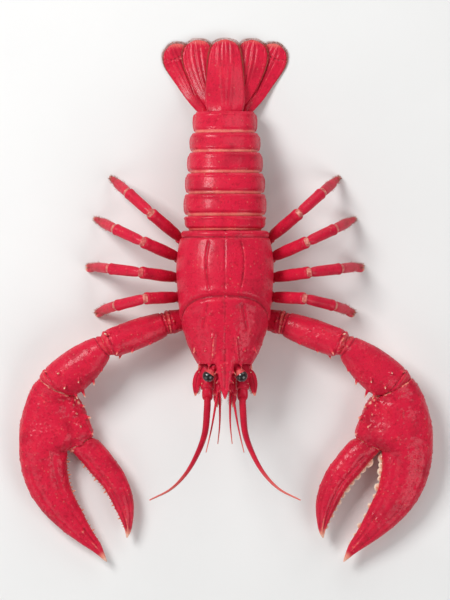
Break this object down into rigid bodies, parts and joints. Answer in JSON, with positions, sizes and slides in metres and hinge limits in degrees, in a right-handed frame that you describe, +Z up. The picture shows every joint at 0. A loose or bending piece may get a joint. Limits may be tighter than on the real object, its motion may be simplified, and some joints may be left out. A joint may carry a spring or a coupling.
{
  "type": "lobster",
  "caption": "Life-size clawed lobster standing on its legs, claws curved forward, long feelers raised and tail fan spread flat behind.",
  "frame": {"origin": "on the floor under the middle of the whole animal, claws and tail fan included", "axes": "head towards -Y, tail towards +Y, the animal's left towards +X, +Z up"},
  "size_m": [0.3777, 0.4806, 0.2244],
  "materials": {
    "shell": "crimson shell with a soft sheen",
    "shell_light": "paler, thinner shell of the underside",
    "claw": "thick, smooth crimson shell",
    "feeler": "ringed crimson feeler",
    "eye": "glossy black"
  },
  "bodies": {
    "root": {"carapace": "shell", "thorax_underside": "shell_light", "abdomen_1": "shell", "abdomen_2": "shell", "abdomen_3": "shell", "abdomen_4": "shell", "abdomen_5": "shell", "abdomen_6": "shell", "telson": "shell", "uropod_inner_left": "shell", "uropod_outer_left": "shell", "arm_base_left": "shell", "arm_merus_left": "shell", "arm_carpus_left": "shell", "claw_palm_left": "claw", "claw_fixed_finger_left": "claw", "claw_finger_left": "claw", "leg_2_upper_left": "shell", "leg_2_lower_left": "shell", "leg_3_upper_left": "shell", "leg_3_lower_left": "shell", "leg_4_upper_left": "shell", "leg_4_lower_left": "shell", "leg_5_upper_left": "shell", "leg_5_lower_left": "shell", "eyestalk_left": "shell", "eye_left": "eye", "antenna_base_left": "shell", "antenna_whip_1_left": "feeler", "antenna_whip_2_left": "feeler", "antennule_left": "feeler", "mouth_leg_left": "shell_light", "uropod_inner_right": "shell", "uropod_outer_right": "shell", "arm_base_right": "shell", "arm_merus_right": "shell", "arm_carpus_right": "shell", "claw_palm_right": "claw", "claw_fixed_finger_right": "claw", "claw_finger_right": "claw", "leg_2_upper_right": "shell", "leg_2_lower_right": "shell", "leg_3_upper_right": "shell", "leg_3_lower_right": "shell", "leg_4_upper_right": "shell", "leg_4_lower_right": "shell", "leg_5_upper_right": "shell", "leg_5_lower_right": "shell", "eyestalk_right": "shell", "eye_right": "eye", "antenna_base_right": "shell", "antenna_whip_1_right": "feeler", "antenna_whip_2_right": "feeler", "antennule_right": "feeler", "mouth_leg_right": "shell_light"}
  },
  "joints": []
}
